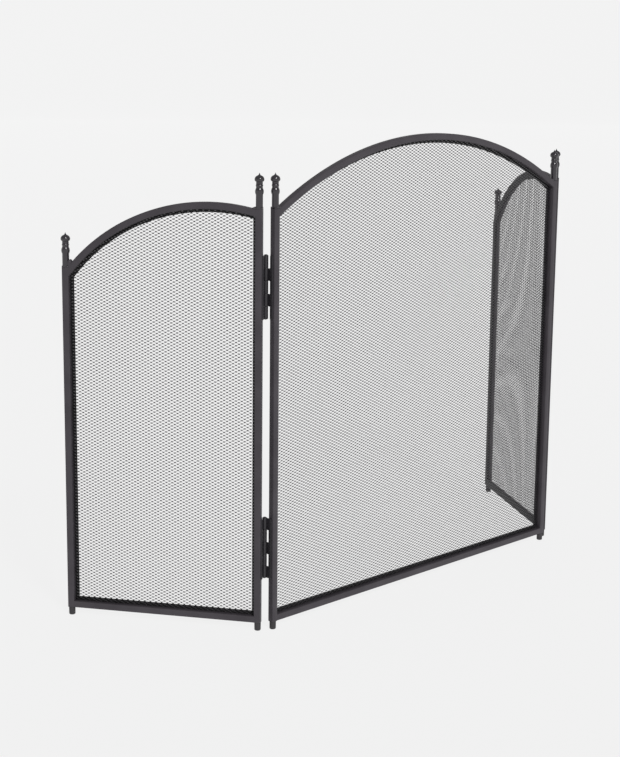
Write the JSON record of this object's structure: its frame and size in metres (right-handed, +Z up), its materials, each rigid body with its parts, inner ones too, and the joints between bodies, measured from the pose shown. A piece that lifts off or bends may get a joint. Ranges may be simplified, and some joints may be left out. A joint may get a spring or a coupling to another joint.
{
  "type": "fireplace screen",
  "caption": "Three-fold fireplace screen: arched square-tube panels filled with diamond mesh, turned finials on the posts, wings folding back on butt hinges.",
  "frame": {"origin": "on the floor, at the middle of the box that holds the standing screen", "axes": "+Z up; +X along the centre panel towards the right wing; the front faces -Y and the wings fold back towards +Y"},
  "size_m": [0.976, 0.2606, 0.6919],
  "materials": {
    "frame": "satin black powder coat",
    "finial": "semi-gloss black powder coat",
    "foot": "satin black powder coat",
    "mesh": "satin black expanded metal",
    "strip": "satin black",
    "hinge": "semi-gloss black"
  },
  "bodies": {
    "centre_panel": {"centre_left_post": "frame", "centre_right_post": "frame", "centre_arch_rail": "frame", "centre_bottom_rail": "frame", "centre_mesh": "mesh", "centre_strip_left": "strip", "centre_strip_right": "strip", "centre_strip_bottom": "strip", "centre_strip_arch": "strip", "centre_left_finial": "finial", "centre_right_finial": "finial", "centre_left_foot": "foot", "centre_right_foot": "foot", "left_upper_centre_leaf": "hinge", "left_upper_pin": "hinge", "left_lower_centre_leaf": "hinge", "left_lower_pin": "hinge", "right_upper_centre_leaf": "hinge", "right_upper_pin": "hinge", "right_lower_centre_leaf": "hinge", "right_lower_pin": "hinge"},
    "left_wing": {"left_hinge_post": "frame", "left_outer_post": "frame", "left_arch_rail": "frame", "left_bottom_rail": "frame", "left_mesh": "mesh", "left_strip_hinge": "strip", "left_strip_outer": "strip", "left_strip_bottom": "strip", "left_strip_arch": "strip", "left_hinge_finial": "finial", "left_outer_finial": "finial", "left_hinge_foot": "foot", "left_outer_foot": "foot", "left_upper_wing_leaf": "hinge", "left_lower_wing_leaf": "hinge"},
    "right_wing": {"right_hinge_post": "frame", "right_outer_post": "frame", "right_arch_rail": "frame", "right_bottom_rail": "frame", "right_mesh": "mesh", "right_strip_hinge": "strip", "right_strip_outer": "strip", "right_strip_bottom": "strip", "right_strip_arch": "strip", "right_hinge_finial": "finial", "right_outer_finial": "finial", "right_hinge_foot": "foot", "right_outer_foot": "foot", "right_upper_wing_leaf": "hinge", "right_lower_wing_leaf": "hinge"}
  },
  "joints": [
    {"name": "left_fold", "type": "hinge", "parent": "centre_panel", "child": "left_wing", "pos_m": [-0.3192, -0.11289, 0], "axis": [0, 0, -1], "range_deg": [-57.7, 122.3]},
    {"name": "right_fold", "type": "hinge", "parent": "centre_panel", "child": "right_wing", "pos_m": [0.3192, -0.11289, 0], "axis": [0, 0, 1], "range_deg": [-57.7, 122.3]}
  ]
}
